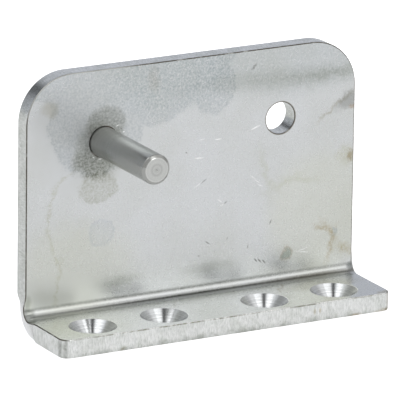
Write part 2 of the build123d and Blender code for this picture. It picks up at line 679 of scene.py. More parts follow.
@dataclass(frozen=True)
class MillSheet:
    """Hot rolled and pickled stainless sheet, stained by handling and by the heat of the weld; some of
    its marks are painted shade and painted reflections along the bend.

    Pickling leaves a pale grey skin: soft blurred reflections and faint clouds, and the stained patches
    have tide marks.
    Where the skin was dulled, its reflections blur further.
    """

    name: str
    stains: tuple[Stain, ...]
    lies_flat: bool = False
    dark_marks: tuple[Lobe, ...] = ()
    bright_marks: tuple[Lobe, ...] = ()
    dulled: tuple[Lobe, ...] = ()
    colour: str = "#DDDFE0"
    cloud_colour: str = "#D6D8D6"
    dark_mark_colour: str = "#8E8F8C"
    bright_mark_colour: str = "#FFFFFF"
    mark_softness: float = 0.1
    clouds: Grain = Grain(22.0, detail=5.0, raggedness=0.62, starts=0.38, full=0.66)
    grit: Grain = Grain(0.6, detail=3.0, raggedness=0.65, starts=0.34, full=0.7)
    tide: Grain = Grain(3.4, detail=6.0, raggedness=0.72)
    tide_reach: float = 5.5
    roughness: float = 0.28
    roughness_spread: float = 0.015
    roughness_span: tuple[float, float] = (0.3, 0.7)
    skin_strength: float = 0.02
    skin_depth: float = 0.02 * MM
    dulling: float = 0.2
    dull_fade: float = 5.0

    def material(self) -> bpy.types.Material:
        """Make the material.

        Returns:
            The sheet's material.
        """
        material, shader, place = start_steel(self.name, {})
        tree = material.node_tree
        clouds = self.clouds.noise(tree, place)
        colour = add_node(
            tree,
            "ShaderNodeMix",
            {
                "Factor": self.clouds.mask(tree, clouds),
                6: tone(self.colour),
                7: tone(self.cloud_colour),
            },
            data_type="RGBA",
        ).outputs[2]
        grit = self.grit.noise(tree, place)
        pepper = self.grit.mask(tree, grit)
        face = self._face(tree, place)
        for stain in self.stains:
            colour = lay_stain(tree, colour, face, stain, pepper)
        for lobes, mark_colour in (
            (self.dark_marks, self.dark_mark_colour),
            (self.bright_marks, self.bright_mark_colour),
        ):
            if lobes:
                field = lobe_field(tree, face.flat, lobes)
                marks = soft_mask(tree, field, self.mark_softness, face.on_face)
                colour = add_node(
                    tree,
                    "ShaderNodeMix",
                    {"Factor": marks, 6: colour, 7: tone(mark_colour)},
                    data_type="RGBA",
                ).outputs[2]
        tree.links.new(colour, shader.inputs["Base Color"])
        smoothest, roughest = self.roughness_span
        roughness = add_node(
            tree,
            "ShaderNodeMapRange",
            {
                "Value": grit.outputs["Fac"],
                "From Min": smoothest,
                "From Max": roughest,
                "To Min": self.roughness - self.roughness_spread,
                "To Max": self.roughness + self.roughness_spread,
            },
        ).outputs["Result"]
        if self.dulled:
            field = lobe_field(tree, face.flat, self.dulled)
            dull = soft_mask(tree, field, self.dull_fade, face.on_face)
            roughness = add_node(
                tree,
                "ShaderNodeMath",
                {0: dull, 1: self.dulling, 2: roughness},
                operation="MULTIPLY_ADD",
            ).outputs["Value"]
        tree.links.new(roughness, shader.inputs["Roughness"])
        skin = add_node(
            tree,
            "ShaderNodeBump",
            {
                "Height": grit.outputs["Fac"],
                "Strength": self.skin_strength,
                "Distance": self.skin_depth,
            },
        )
        tree.links.new(skin.outputs["Normal"], shader.inputs["Normal"])
        return material

    def _face(self, tree: Any, place: Any) -> Face:
        """Lay out places on the face, once as they are and once shifted about for ragged marks.

        Args:
            tree: the node tree to add to.
            place: the place on the piece in millimetres.

        Returns:
            The face, with its length along X and its height along Z.
        """
        along = add_node(tree, "ShaderNodeSeparateXYZ", {"Vector": place})
        height = along.outputs["Y" if self.lies_flat else "Z"]
        flat = add_node(tree, "ShaderNodeCombineXYZ", {"X": along.outputs["X"], "Z": height})
        noise = self.tide.noise(tree, place)
        shift = add_node(
            tree,
            "ShaderNodeVectorMath",
            {0: noise.outputs["Color"], 1: NOISE_MIDDLE},
            operation="SUBTRACT",
        )
        wandered = add_node(
            tree,
            "ShaderNodeVectorMath",
            {
                0: shift.outputs["Vector"],
                1: (self.tide_reach, 0, self.tide_reach),
                2: flat.outputs["Vector"],
            },
            operation="MULTIPLY_ADD",
        )
        return Face(WHOLE_FACE, flat.outputs["Vector"], wandered.outputs["Vector"])


@dataclass(frozen=True)
class CutEdge:
    """The sheet's laser-cut edge: pale, with fine drag lines through the thickness and grey blotches.

    Its sides are painted darker than its front as painted shade, less so at the foot, and painted white
    low on the outside of the fold as a painted glare.
    """

    flange_front: float
    fold_height: float
    stains: tuple[Stain, ...]
    colour: str = "#F6F7F6"
    line_colour: str = "#DBDDDB"
    blotch_tint: str = "#F1F2F0"
    # Painted shade: a tint that darkens the faces that look sideways, less near the foot
    side_tint: str = "#E3E4E2"
    side_tint_from: float = 4.0
    side_tint_full: float = 11.0
    foot_tint_share: float = 0.3
    # A painted glare: white laid low on the outside of the fold
    stretched: tuple[Lobe, ...] = (Lobe(17.0, 1.5, 6.5, 6.5),)
    stretched_colour: str = "#FFFFFF"
    stretched_fade: float = 3.0
    lines: Grain = Grain(0.3, detail=3.0, starts=0.35, full=0.7)
    line_squash: float = 0.25
    blotches: Grain = Grain(3.2, detail=5.0, raggedness=0.65, starts=0.46, full=0.6)
    stain_depth: float = 2.6
    stain_end: float = 2.9
    roughness: float = 0.27
    drag_strength: float = 0.2
    drag_depth: float = 0.04 * MM

    def material(self) -> bpy.types.Material:
        """Make the material.

        Returns:
            The cut edge's material.
        """
        material, shader, place = start_steel("laser-cut stainless edge", {"Roughness": self.roughness})
        tree = material.node_tree
        along = add_node(tree, "ShaderNodeSeparateXYZ", {"Vector": place})
        lines = self._drag_lines(tree, place, along.outputs["Z"])
        metal = add_node(
            tree,
            "ShaderNodeMix",
            {
                "Factor": self.lines.mask(tree, lines),
                6: tone(self.colour),
                7: tone(self.line_colour),
            },
            data_type="RGBA",
        )
        blotchy = self.blotches.mask(tree, self.blotches.noise(tree, place))
        blotched = add_node(
            tree,
            "ShaderNodeMix",
            {"Factor": blotchy, 6: metal.outputs[2], 7: tone(self.blotch_tint)},
            data_type="RGBA",
            blend_type="MULTIPLY",
        )
        on_front = add_node(
            tree,
            "ShaderNodeMapRange",
            {
                "Value": along.outputs["Y"],
                "From Min": self.flange_front + self.stain_end,
                "From Max": self.flange_front + self.stain_depth,
            },
        )
        flat = add_node(
            tree, "ShaderNodeCombineXYZ", {"X": along.outputs["X"], "Z": along.outputs["Z"]}
        )
        front = Face(on_front.outputs["Result"], flat.outputs["Vector"], flat.outputs["Vector"])
        colour = self._dull_sides(tree, blotched.outputs[2], along)
        for stain in self.stains:
            colour = lay_stain(tree, colour, front, stain, blotchy)
        tree.links.new(colour, shader.inputs["Base Color"])
        drag = add_node(
            tree,
            "ShaderNodeBump",
            {
                "Height": lines.outputs["Fac"],
                "Strength": self.drag_strength,
                "Distance": self.drag_depth,
            },
        )
        tree.links.new(drag.outputs["Normal"], shader.inputs["Normal"])
        return material

    def _drag_lines(self, tree: Any, place: Any, height: Any) -> Any:
        """Draw noise out into lines through the sheet's thickness, on the flange and on the upright.

        Args:
            tree: the node tree to add to.
            place: the place on the piece in millimetres.
            height: how high the place is.

        Returns:
            The noise node.
        """
        upright = add_node(
            tree, "ShaderNodeMath", {0: height, 1: self.fold_height}, operation="GREATER_THAN"
        )
        squash = add_node(
            tree,
            "ShaderNodeMix",
            {
                "Factor": upright.outputs["Value"],
                4: (1, 1, self.line_squash),
                5: (1, self.line_squash, 1),
            },
            data_type="VECTOR",
        )
        drawn = add_node(
            tree, "ShaderNodeVectorMath", {0: place, 1: squash.outputs[1]}, operation="MULTIPLY"
        )
        return self.lines.noise(tree, drawn.outputs["Vector"])

    def _dull_sides(self, tree: Any, colour: Any, along: Any) -> Any:
        """Paint shade on the faces that look sideways, and paint a glare on them low on the outside of
        the fold.

        Args:
            tree: the node tree to add to.
            colour: the colour so far.
            along: the node that gives the place's X, Y and Z.

        Returns:
            The colour with painted shade on its sides and a painted glare.
        """
        facing = add_node(tree, "ShaderNodeTexCoord")
        facing_axes = add_node(tree, "ShaderNodeSeparateXYZ", {"Vector": facing.outputs["Normal"]})
        sideways = add_node(
            tree, "ShaderNodeMath", {0: facing_axes.outputs["X"]}, operation="ABSOLUTE"
        )
        paler_foot = add_node(
            tree,
            "ShaderNodeMapRange",
            {
                "Value": along.outputs["Z"],
                "From Min": self.side_tint_from,
                "From Max": self.side_tint_full,
                "To Min": self.foot_tint_share,
            },
        )
        # Painted shade: how much a face is darkened, by how far it looks sideways and how high it is
        dulling = add_node(
            tree,
            "ShaderNodeMath",
            {0: sideways.outputs["Value"], 1: paler_foot.outputs["Result"]},
            operation="MULTIPLY",
        )
        duller = add_node(
            tree,
            "ShaderNodeMix",
            {"Factor": dulling.outputs["Value"], 6: colour, 7: tone(self.side_tint)},
            data_type="RGBA",
            blend_type="MULTIPLY",
        )
        side = add_node(
            tree, "ShaderNodeCombineXYZ", {"X": along.outputs["Y"], "Z": along.outputs["Z"]}
        )
        # Painted glare: white laid on the sides low on the outside of the fold
        field = lobe_field(tree, side.outputs["Vector"], self.stretched)
        whitened = soft_mask(tree, field, self.stretched_fade, WHOLE_FACE)
        return add_node(
            tree,
            "ShaderNodeMix",
            {"Factor": whitened, 6: duller.outputs[2], 7: tone(self.stretched_colour)},
            data_type="RGBA",
        ).outputs[2]


@dataclass(frozen=True)
class BurntRim:
    """The rim of the laser cut: a thin dark line of oxide and burr, rubbed bright here and there."""

    colour: str = "#625E56"
    rubbed_colour: str = "#C6C7C3"
    rubbed_places: tuple[Lobe, ...] = (
        Lobe(-43, 64, 8, 7),
        Lobe(-33, 69, 7, 2),
        Lobe(-24, 69, 6, 2),
    )
    rubbed_fade: float = 2.0
    patches: Grain = Grain(2.6, detail=4.0, raggedness=0.65, starts=0.52, full=0.68, share=0.8)
    roughness: float = 0.42

    def material(self) -> bpy.types.Material:
        """Make the material.

        Returns:
            The rim's material.
        """
        material, shader, place = start_steel("oxidised stainless burr", {"Roughness": self.roughness})
        tree = material.node_tree
        patches = self.patches.mask(tree, self.patches.noise(tree, place))
        flat = add_node(tree, "ShaderNodeVectorMath", {0: place, 1: (1, 0, 1)}, operation="MULTIPLY")
        field = lobe_field(tree, flat.outputs["Vector"], self.rubbed_places)
        handled = soft_mask(tree, field, self.rubbed_fade, self.patches.share)
        worn = add_node(tree, "ShaderNodeMath", {0: patches, 1: handled}, operation="MAXIMUM")
        colour = add_node(
            tree,
            "ShaderNodeMix",
            {"Factor": worn.outputs["Value"], 6: tone(self.colour), 7: tone(self.rubbed_colour)},
            data_type="RGBA",
        )
        tree.links.new(colour.outputs[2], shader.inputs["Base Color"])
        return material


@dataclass(frozen=True)
class DullRoot:
    """A length of a turned piece that heat dulled, by its depth along the axis in millimetres."""

    start: float
    full: float
    roughness: float


@dataclass(frozen=True)
class TurnedSteel:
    """Steel cut by a turning tool: fine rings round the axis draw the light out into fans.

    A root that heat has dulled blurs the light instead.
    """

    name: str
    axis: TurnAxis
    centres: tuple[tuple[float, float, float], ...]
    colour: str
    ring_colour: str
    ring_spacing: float
    roughness: float
    anisotropy: float
    dull_root: DullRoot | None = None
    ring_detail: float = 3.0
    ring_starts: float = 0.35
    ring_full: float = 0.65

    def material(self) -> bpy.types.Material:
        """Make the material.

        Returns:
            The turned steel's material.
        """
        material, shader, place = start_steel(
            self.name, {"Roughness": self.roughness, "Anisotropic": self.anisotropy}
        )
        tree = material.node_tree
        arm = self._nearest_arm(tree, place)
        across = Vector((1, 1, 1)) - Vector(self.axis.value)
        outward = add_node(tree, "ShaderNodeVectorMath", {0: arm, 1: across}, operation="MULTIPLY")
        over_rings = add_node(
            tree,
            "ShaderNodeVectorMath",
            {0: outward.outputs["Vector"], 1: self.axis.value},
            operation="ADD",
        )
        tree.links.new(over_rings.outputs["Vector"], shader.inputs["Tangent"])
        radius = add_node(
            tree, "ShaderNodeVectorMath", {0: outward.outputs["Vector"]}, operation="LENGTH"
        )
        depth = add_node(
            tree, "ShaderNodeVectorMath", {0: arm, 1: self.axis.value}, operation="DOT_PRODUCT"
        )
        if self.dull_root:
            dulled = add_node(
                tree,
                "ShaderNodeMapRange",
                {
                    "Value": depth.outputs["Value"],
                    "From Min": self.dull_root.start,
                    "From Max": self.dull_root.full,
                    "To Min": self.roughness,
                    "To Max": self.dull_root.roughness,
                },
            )
            tree.links.new(dulled.outputs["Result"], shader.inputs["Roughness"])
        travel = add_node(
            tree,
            "ShaderNodeMath",
            {0: radius.outputs["Value"], 1: depth.outputs["Value"]},
            operation="ADD",
        )
        rings = add_node(
            tree,
            "ShaderNodeTexNoise",
            {
                "W": travel.outputs["Value"],
                "Scale": 1 / self.ring_spacing,
                "Detail": self.ring_detail,
            },
            noise_dimensions="1D",
        )
        dark = add_node(
            tree,
            "ShaderNodeMapRange",
            {
                "Value": rings.outputs["Fac"],
                "From Min": self.ring_starts,
                "From Max": self.ring_full,
            },
        )
        colour = add_node(
            tree,
            "ShaderNodeMix",
            {"Factor": dark.outputs["Result"], 6: tone(self.colour), 7: tone(self.ring_colour)},
            data_type="RGBA",
        )
        tree.links.new(colour.outputs[2], shader.inputs["Base Color"])
        return material

    def _nearest_arm(self, tree: Any, place: Any) -> Any:
        """Point from the nearest axis to the place.

        Args:
            tree: the node tree to add to.
            place: the place on the piece in millimetres.

        Returns:
            The vector from the nearest centre, in millimetres.
        """
        nearest = None
        nearest_length = None
        for centre in self.centres:
            arm = add_node(tree, "ShaderNodeVectorMath", {0: place, 1: centre}, operation="SUBTRACT")
            length = add_node(
                tree, "ShaderNodeVectorMath", {0: arm.outputs["Vector"]}, operation="LENGTH"
            )
            if nearest is None:
                nearest, nearest_length = arm.outputs["Vector"], length.outputs["Value"]
                continue
            closer = add_node(
                tree,
                "ShaderNodeMath",
                {0: length.outputs["Value"], 1: nearest_length},
                operation="LESS_THAN",
            )
            chosen = add_node(
                tree,
                "ShaderNodeMix",
                {"Factor": closer.outputs["Value"], 4: nearest, 5: arm.outputs["Vector"]},
                data_type="VECTOR",
            )
            nearest = chosen.outputs[1]
            nearest_length = add_node(
                tree,
                "ShaderNodeMath",
                {0: length.outputs["Value"], 1: nearest_length},
                operation="MINIMUM",
            ).outputs["Value"]
        return nearest


@dataclass(frozen=True)
class WeldBead:
    """Weld metal as laid: a duller skin, with straw and blue heat colours along its toes."""

    colour: str = "#B9B6AE"
    heat_colour: str = "#8E8578"
    patches: Grain = Grain(1.8, detail=3.0, starts=0.4, full=0.65)
    roughness: float = 0.36

    def material(self) -> bpy.types.Material:
        """Make the material.

        Returns:
            The weld's material.
        """
        material, shader, place = start_steel("stainless weld bead", {"Roughness": self.roughness})
        tree = material.node_tree
        heat = self.patches.mask(tree, self.patches.noise(tree, place))
        colour = add_node(
            tree,
            "ShaderNodeMix",
            {"Factor": heat, 6: tone(self.colour), 7: tone(self.heat_colour)},
            data_type="RGBA",
        )
        tree.links.new(colour.outputs[2], shader.inputs["Base Color"])
        return material


@dataclass(frozen=True)
class PlateFinishes:
    """The plate's materials: its three faces, its cut edge, the rim of the cut and the countersinks."""

    front: bpy.types.Material
    flange: bpy.types.Material
    back: bpy.types.Material
    cut: bpy.types.Material
    rim: bpy.types.Material
    countersink: bpy.types.Material


@dataclass
class FoldedPlate:
    """The folded plate: flange, bend and upright, with its countersinks and pin holes."""

    thickness: float
    top: float
    back: float
    flange_front: float
    screw_places: tuple[float, ...]
    screw_radius: float
    pin_centres: tuple[Vector, ...]
    pin_hole_radius: float
    width: float = 97.0 * MM
    bend_radius: float = 2.4 * MM
    corner_radius: float = 12.9 * MM
    flange_corner_radius: float = 2.5 * MM
    edge_break: float = 0.25 * MM
    pin_rim_breaks: tuple[float, float] = (0.04 * MM, 0.18 * MM)
    screw_rim_break: float = 0.1 * MM
    countersink_radius: float = 6.3 * MM
    countersink_half_angle: float = radians(45)
    end_swell: float = 0.55 * MM
    end_draw: float = 0.9 * MM
    end_run: float = 3.5 * MM
    end_round: tuple[tuple[float, float], ...] = (
        (2.1 * MM, 0.0),
        (1.4 * MM, 0.03 * MM),
        (0.7 * MM, 0.12 * MM),
        (0.0, 0.32 * MM),
    )
    run_cuts: int = 5
    bend_steps: int = 18
    corner_steps: int = 28
    flange_corner_steps: int = 8
    edge_steps: int = 3
    hole_steps: int = 112
    rim_steps: int = 2
    cut_from: float = 0.25
    cut_to: float = 0.8
    cut_edge_angle: float = radians(50)
    hole_edge_angle: float = radians(28)
    smooth_below: float = 38.0
    near: float = 0.01 * MM
    near_face: float = 0.04 * MM

    @property
    def front(self) -> float:
        """Where the upright's front face is, along Y."""
        return self.back - self.thickness

    @property
    def bend_axis(self) -> Vector:
        """The middle of the axis of the bend."""
        return Vector((0, self.front - self.bend_radius, self.thickness + self.bend_radius))

    def build(self, finishes: PlateFinishes) -> bpy.types.Object:
        """Fold, round, dress and drill the plate.

        Args:
            finishes: the plate's materials.

        Returns:
            The finished piece.
        """
        piece = self._fold()
        self._press_ends(piece)
        self._round_corners(piece)
        self._dress(piece, finishes)
        self._break_edges(piece)
        self._drill(piece, finishes)
        smooth(piece, self.smooth_below)
        return piece

    def _fold(self) -> bpy.types.Object:
        """Extrude the sheet's end back along the flange, round the bend and up the plate.

        Returns:
            The folded sheet, cut across where the ends of the bend run out.
        """
        leave_edit_mode()
        bpy.ops.mesh.primitive_plane_add(
            size=1,
            location=(0, self.flange_front, self.thickness / 2),
            rotation=(pi / 2, 0, 0),
        )
        piece = bpy.context.object
        piece.name = "folded_plate"
        piece.data.name = "folded_plate"
        piece.scale = (self.width, self.thickness, 1)
        bpy.ops.object.transform_apply(location=True, rotation=True, scale=True)
        axis = self.bend_axis
        edit(piece)
        bpy.ops.mesh.select_mode(type="FACE")
        bpy.ops.mesh.select_all(action="SELECT")
        bpy.ops.mesh.extrude_region_move(
            TRANSFORM_OT_translate={"value": (0, axis.y - self.flange_front, 0)}
        )
        bpy.ops.mesh.spin(steps=self.bend_steps, angle=-pi / 2, center=axis, axis=(1, 0, 0))
        bpy.ops.mesh.extrude_region_move(
            TRANSFORM_OT_translate={"value": (0, 0, self.top - axis.z)}
        )
        bpy.ops.mesh.select_all(action="SELECT")
        bpy.ops.mesh.remove_doubles(threshold=MERGE_DISTANCE)
        bpy.ops.mesh.normals_make_consistent(inside=False)
        for step in range(1, self.run_cuts + 1):
            past = self.end_run * step / self.run_cuts
            bpy.ops.mesh.select_all(action="SELECT")
            bpy.ops.mesh.bisect(plane_co=(0, 0, axis.z + past), plane_no=(0, 0, 1))
            bpy.ops.mesh.select_all(action="SELECT")
            bpy.ops.mesh.bisect(plane_co=(0, axis.y - past, 0), plane_no=(0, 1, 0))
        leave_edit_mode()
        return piece

    def _past_bend(self, place: Vector) -> float:
        """How far a place is past the bend, up the plate or out along the flange."""
        arm = place - self.bend_axis
        return max(arm.z, -arm.y, 0)

    def _depth(self, place: Vector) -> float:
        """How deep a place lies in the sheet, from its inside face to its outside face."""
        arm = place - self.bend_axis
        if arm.z > 0:
            return arm.y - self.bend_radius
        if arm.y < 0:
            return -arm.z - self.bend_radius
        return hypot(arm.y, arm.z) - self.bend_radius

    def _press_ends(self, piece: bpy.types.Object) -> None:
        """Squeeze the bend's inside out past both ends, round it over, and draw its outside in."""
        edit(piece)
        for inset, _ in self.end_round[:-1]:
            for side in (-1, 1):
                pick(piece, Element.FACES, lambda f: self._in_bend(f.calc_center_median()))
                bpy.ops.mesh.bisect(
                    plane_co=(side * (self.width / 2 - inset), 0, 0), plane_no=(1, 0, 0)
                )
        for step in range(self.run_cuts):
            past = self.end_run * step / self.run_cuts
            fade = (1 + cos(pi * step / self.run_cuts)) / 2
            for depth, move in ((0, self.end_swell), (self.thickness, -self.end_draw)):
                for side in (-1, 1):
                    pick(
                        piece,
                        Element.VERTS,
                        lambda v: v.co.x * side > self.width / 2 - self.near
                        and abs(self._past_bend(v.co) - past) < self.near
                        and abs(self._depth(v.co) - depth) < self.near_face,
                    )
                    bpy.ops.transform.translate(value=(side * move * fade, 0, 0))
            for inset, drop in self.end_round[1:]:
                self._sink(piece, past, inset, drop * fade)
        leave_edit_mode()

    def _in_bend(self, place: Vector) -> bool:
        """Say whether a place is on the inside of the bend or of the runs on both sides of it."""
        return abs(self._depth(place)) < self.near_face and self._past_bend(place) < self.end_run

    def _sink(self, piece: bpy.types.Object, past: float, inset: float, drop: float) -> None:
        """Sink the inside of the bend into the sheet along one line near each end.

        Args:
            piece: the folded sheet, being edited.
            past: how far past the bend the line's points are.
            inset: how far the line is from the end.
            drop: how deep it sinks.
        """
        axis = self.bend_axis
        edge = self.width / 2 - inset

        def on_line(place: Vector) -> bool:
            """Say whether a place is on the line, at the end or beside it."""
            across = abs(place.x) - edge
            at_line = across > -self.near if inset == 0 else abs(across) < self.near
            return at_line and abs(self._depth(place)) < self.near_face

        if past == 0:
            scale = 1 + drop / self.bend_radius
            pick(piece, Element.VERTS, lambda v: on_line(v.co) and self._past_bend(v.co) < self.near)
            bpy.ops.transform.resize(value=(1, scale, scale), center_override=axis)
            return
        pick(piece, Element.VERTS, lambda v: on_line(v.co) and abs(v.co.z - axis.z - past) < self.near)
        bpy.ops.transform.translate(value=(0, drop, 0))
        pick(piece, Element.VERTS, lambda v: on_line(v.co) and abs(axis.y - v.co.y - past) < self.near)
        bpy.ops.transform.translate(value=(0, 0, -drop))

    def _round_corners(self, piece: bpy.types.Object) -> None:
        """Round the two top corners of the upright and the two front corners of the flange."""
        side = self.width / 2 - self.near
        top = self.top - self.near
        front = self.flange_front + self.near
        edit(piece)
        pick(piece, Element.EDGES, lambda e: abs(middle(e).x) > side and middle(e).z > top)
        bpy.ops.mesh.bevel(
            offset=self.corner_radius, segments=self.corner_steps, affect="EDGES"
        )
        pick(piece, Element.EDGES, lambda e: abs(middle(e).x) > side and middle(e).y < front)
        bpy.ops.mesh.bevel(
            offset=self.flange_corner_radius, segments=self.flange_corner_steps, affect="EDGES"
        )
        leave_edit_mode()

    def _dress(self, piece: bpy.types.Object, finishes: PlateFinishes) -> None:
        """Give each face of the sheet its skin, and the edge all the way round the cut.

        Args:
            piece: the folded sheet.
            finishes: the plate's materials.
        """
        for finish in (finishes.front, finishes.cut, finishes.rim, finishes.flange, finishes.back):
            piece.data.materials.append(finish)
        edit(piece)
        self._assign(piece, Slot.FLANGE, lambda f: f.calc_center_median().y < self.bend_axis.y)
        self._assign(piece, Slot.BACK, lambda f: self._share(f) > self.cut_to)
        self._assign(piece, Slot.CUT, lambda f: self.cut_from < self._share(f) < self.cut_to)
        leave_edit_mode()

    def _share(self, face: bmesh.types.BMFace) -> float:
        """How deep a face lies, as a share of the sheet's thickness."""
        return self._depth(face.calc_center_median()) / self.thickness

    def _assign(
        self, piece: bpy.types.Object, slot: Slot, test: Callable[[bmesh.types.BMFace], bool]
    ) -> None:
        """Give one of the plate's materials to the faces that pass a test.

        Args:
            piece: the plate, being edited.
            slot: the material's slot.
            test: says whether a face is wanted.
        """
        pick(piece, Element.FACES, test)
        piece.active_material_index = slot.value
        bpy.ops.object.material_slot_assign()

    def _break_edges(self, piece: bpy.types.Object) -> None:
        """Take the sharpness off every edge that the cutting left, with a burnt rim on the inside."""
        edit(piece)
        pick(piece, Element.EDGES, lambda e: e.calc_face_angle(0) > self.cut_edge_angle)
        bpy.ops.mesh.bevel(
            offset=self.edge_break,
            segments=self.edge_steps,
            affect="EDGES",
            material=Slot.RIM.value,
        )
        front = self.flange_front + 2 * self.edge_break
        self._assign(
            piece,
            Slot.CUT,
            lambda f: f.material_index == Slot.RIM.value
            and (
                self._depth(f.calc_center_median()) > self.thickness / 2
                or f.calc_center_median().y < front
            ),
        )
        leave_edit_mode()

    def _drill(self, piece: bpy.types.Object, finishes: PlateFinishes) -> None:
        """Cut the countersunk screw holes and the two pin holes, and ease their rims.

        Args:
            piece: the folded sheet.
            finishes: the plate's materials.
        """
        over = self.thickness
        sink = (self.countersink_radius - self.screw_radius) / tan(self.countersink_half_angle)
        screw_profile = (
            (self.countersink_radius, self.thickness + over),
            (self.countersink_radius, self.thickness),
            (self.screw_radius, self.thickness - sink),
            (self.screw_radius, -over),
        )
        pin_profile = ((self.pin_hole_radius, -over), (self.pin_hole_radius, self.thickness + over))
        drills = [
            (Vector((x, 0, 0)), TurnAxis.SCREW, screw_profile, self.screw_rim_break)
            for x in self.screw_places
        ]
        drills += [
            (Vector((centre.x, self.front, centre.z)), TurnAxis.PIN, pin_profile, rim_break)
            for centre, rim_break in zip(self.pin_centres, self.pin_rim_breaks)
        ]
        for centre, axis, profile, _ in drills:
            cutter = lathe("drill", centre, axis, profile, self.hole_steps)
            cutter.data.materials.append(
                finishes.countersink if axis is TurnAxis.SCREW else finishes.cut
            )
            choose(piece)
            hole = piece.modifiers.new("hole", "BOOLEAN")
            hole.object = cutter
            hole.solver = "EXACT"
            hole.material_mode = "TRANSFER"
            bpy.ops.object.modifier_apply(modifier=hole.name)
            bpy.data.objects.remove(cutter)
        edit(piece)
        for centre, axis, profile, rim_break in drills:
            reach = max(radius for radius, _ in profile) + 2 * self.near
            across = Vector((1, 1, 1)) - Vector(axis.value)
            pick(
                piece,
                Element.EDGES,
                lambda e: ((middle(e) - centre) * across).length < reach
                and e.calc_face_angle(0) > self.hole_edge_angle,
            )
            bpy.ops.mesh.bevel(
                offset=rim_break,
                segments=self.rim_steps,
                affect="EDGES",
                material=-1 if axis is TurnAxis.SCREW else Slot.RIM.value,
            )
        leave_edit_mode()


@dataclass
class HingePin:
    """The turned pin: a chamfered tip, a plain length, and an eased root in the plate's hole."""

    centre: Vector
    radius: float
    tip: float
    plate_front: float
    root_end: float
    chamfer_width: float = 0.8 * MM
    chamfer_length: float = 0.6 * MM
    root_relief: float = 0.25 * MM
    corner_ease: float = 0.08 * MM
    pip_radius: float = 0.35 * MM
    pip_floor_radius: float = 0.14 * MM
    pip_depth: float = 0.12 * MM
    steps: int = 96
    smooth_below: float = 25.0

    @property
    def root_radius(self) -> float:
        """Radius of the root, which is eased to drop into the hole."""
        return self.radius - self.root_relief

    def build(self, finish: bpy.types.Material, bright: bpy.types.Material) -> bpy.types.Object:
        """Turn the pin and dress it.

        Args:
            finish: the pin's material.
            bright: the material of the end, which was faced last, painted lighter than the bar as a
                painted highlight.

        Returns:
            The finished piece.
        """
        face_radius = self.radius - self.chamfer_width
        shoulder = self.tip + self.chamfer_length
        stations = (
            (self.pip_floor_radius, self.tip + self.pip_depth),
            (self.pip_radius, self.tip),
            (face_radius - self.corner_ease, self.tip),
            (face_radius + self.corner_ease, self.tip + self.corner_ease),
            (self.radius - self.corner_ease, shoulder - self.corner_ease),
            (self.radius, shoulder + self.corner_ease),
            (self.radius, self.plate_front - self.corner_ease),
            (self.radius - self.corner_ease, self.plate_front),
            (self.root_radius, self.plate_front),
            (self.root_radius, self.root_end),
        )
        axis_foot = Vector((self.centre.x, 0, self.centre.z))
        piece = lathe("turned_pin", axis_foot, TurnAxis.PIN, stations, self.steps)
        piece.data.materials.append(finish)
        piece.data.materials.append(bright)
        edit(piece)
        pick(piece, Element.FACES, lambda f: f.calc_center_median().y < self.tip + self.pip_depth)
        piece.active_material_index = 1
        bpy.ops.object.material_slot_assign()
        leave_edit_mode()
        smooth(piece, self.smooth_below)
        return piece


@dataclass
class PinWeld:
    """The weld: a ring that fills the back of the gap and stands as a rippled bead behind the plate."""

    centre: Vector
    plate_back: float
    crown: float
    gap_front: float
    outer_toe: float
    hole_radius: float
    root_radius: float
    inner_lap: float = 1.1 * MM
    ripples: int = 34
    ripple_depth: float = 0.14 * MM
    ripple_from: float = 0.4
    steps_per_ripple: int = 4
    bead_steps: int = 10
    smooth_below: float = 60.0

    def build(self, finish: bpy.types.Material) -> bpy.types.Object:
        """Lay the ring, ripple its bead and dress it.

        Args:
            finish: the weld's material.

        Returns:
            The finished piece.
        """
        inner_toe = self.root_radius - self.inner_lap
        bead_radius = (self.outer_toe + inner_toe) / 2
        half_width = (self.outer_toe - inner_toe) / 2
        rise = self.crown - self.plate_back
        turns = [pi * step / self.bead_steps for step in range(self.bead_steps + 1)]
        bead = [
            (bead_radius - half_width * cos(turn), self.plate_back + rise * sin(turn)) for turn in turns
        ]
        stations = [
            *bead,
            (self.hole_radius, self.plate_back),
            (self.hole_radius, self.gap_front),
            (self.root_radius, self.gap_front),
            (self.root_radius, self.plate_back),
            bead[0],
        ]
        steps = self.ripples * self.steps_per_ripple
        axis_foot = Vector((self.centre.x, 0, self.centre.z))
        piece = lathe("weld_bead", axis_foot, TurnAxis.PIN, stations, steps, ring=True)
        edit(piece)
        for phase in range(1, self.steps_per_ripple):
            pick(piece, Element.VERTS, lambda v: self._in_phase(v.co, steps, phase))
            sag = self.ripple_depth * phase / self.steps_per_ripple
            bpy.ops.transform.translate(value=(0, -sag, 0))
        leave_edit_mode()
        piece.data.materials.append(finish)
        smooth(piece, self.smooth_below)
        return piece

    def _in_phase(self, place: Vector, steps: int, phase: int) -> bool:
        """Say whether a place is on the bead's crown and at one phase of its ripples.

        Args:
            place: the place to test.
            steps: how many steps the ring has.
            phase: the step within a ripple.

        Returns:
            True if it is.
        """
        turn = atan2(place.z - self.centre.z, place.x - self.centre.x) / (2 * pi)
        on_crown = place.y > self.plate_back + self.ripple_from * (self.crown - self.plate_back)
        return on_crown and round(turn * steps) % self.steps_per_ripple == phase


